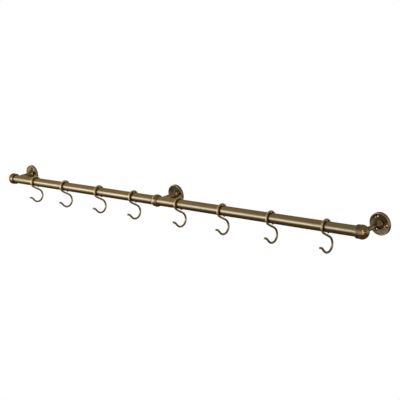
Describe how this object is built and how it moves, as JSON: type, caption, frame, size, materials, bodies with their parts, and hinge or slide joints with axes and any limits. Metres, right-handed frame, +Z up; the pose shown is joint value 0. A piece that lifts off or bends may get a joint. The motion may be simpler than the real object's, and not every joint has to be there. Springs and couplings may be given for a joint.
{
  "type": "kitchen utensil rail",
  "caption": "Wall-mounted kitchen rail in antiqued brass: a round tube on ball and rose brackets, with wire hooks that slide along it.",
  "frame": {"origin": "centre of the middle rose's back face, on the wall", "axes": "+X along the rail to the right as seen from the room, +Y into the wall, +Z up"},
  "size_m": [1.015, 0.0771, 0.0677],
  "materials": {
    "tube_brass": "satin antiqued brass, brushed lengthwise",
    "fitting_brass": "polished antiqued brass",
    "hook_brass": "polished antiqued brass wire",
    "screw_steel": "blackened steel"
  },
  "bodies": {
    "rail": {"rail_tube": "tube_brass", "centre_ball": "fitting_brass", "end_socket_left": "fitting_brass", "stem_left": "fitting_brass", "rose_left": "fitting_brass", "rose_screw_left": "screw_steel", "grub_screw_left": "screw_steel", "stem_centre": "fitting_brass", "rose_centre": "fitting_brass", "rose_screw_centre": "screw_steel", "grub_screw_centre": "screw_steel", "end_socket_right": "fitting_brass", "stem_right": "fitting_brass", "rose_right": "fitting_brass", "rose_screw_right": "screw_steel", "grub_screw_right": "screw_steel"},
    "hook_1": {"hook_1": "hook_brass"},
    "hook_2": {"hook_2": "hook_brass"},
    "hook_3": {"hook_3": "hook_brass"},
    "hook_4": {"hook_4": "hook_brass"},
    "hook_5": {"hook_5": "hook_brass"},
    "hook_6": {"hook_6": "hook_brass"},
    "hook_7": {"hook_7": "hook_brass"},
    "hook_8": {"hook_8": "hook_brass"}
  },
  "joints": [
    {"name": "hook_1_slide", "type": "slide", "parent": "rail", "child": "hook_1", "axis": [1, 0, 0], "range_m": [-0.0734, 0.05132]},
    {"name": "hook_2_slide", "type": "slide", "parent": "rail", "child": "hook_2", "axis": [1, 0, 0], "range_m": [-0.05132, 0.05512]},
    {"name": "hook_3_slide", "type": "slide", "parent": "rail", "child": "hook_3", "axis": [1, 0, 0], "range_m": [-0.05512, 0.05202]},
    {"name": "hook_4_slide", "type": "slide", "parent": "rail", "child": "hook_4", "axis": [1, 0, 0], "range_m": [-0.05202, 0.0609]},
    {"name": "hook_5_slide", "type": "slide", "parent": "rail", "child": "hook_5", "axis": [1, 0, 0], "range_m": [-0.0519, 0.05432]},
    {"name": "hook_6_slide", "type": "slide", "parent": "rail", "child": "hook_6", "axis": [1, 0, 0], "range_m": [-0.05432, 0.05632]},
    {"name": "hook_7_slide", "type": "slide", "parent": "rail", "child": "hook_7", "axis": [1, 0, 0], "range_m": [-0.05632, 0.05832]},
    {"name": "hook_8_slide", "type": "slide", "parent": "rail", "child": "hook_8", "axis": [1, 0, 0], "range_m": [-0.05832, 0.0614]}
  ]
}
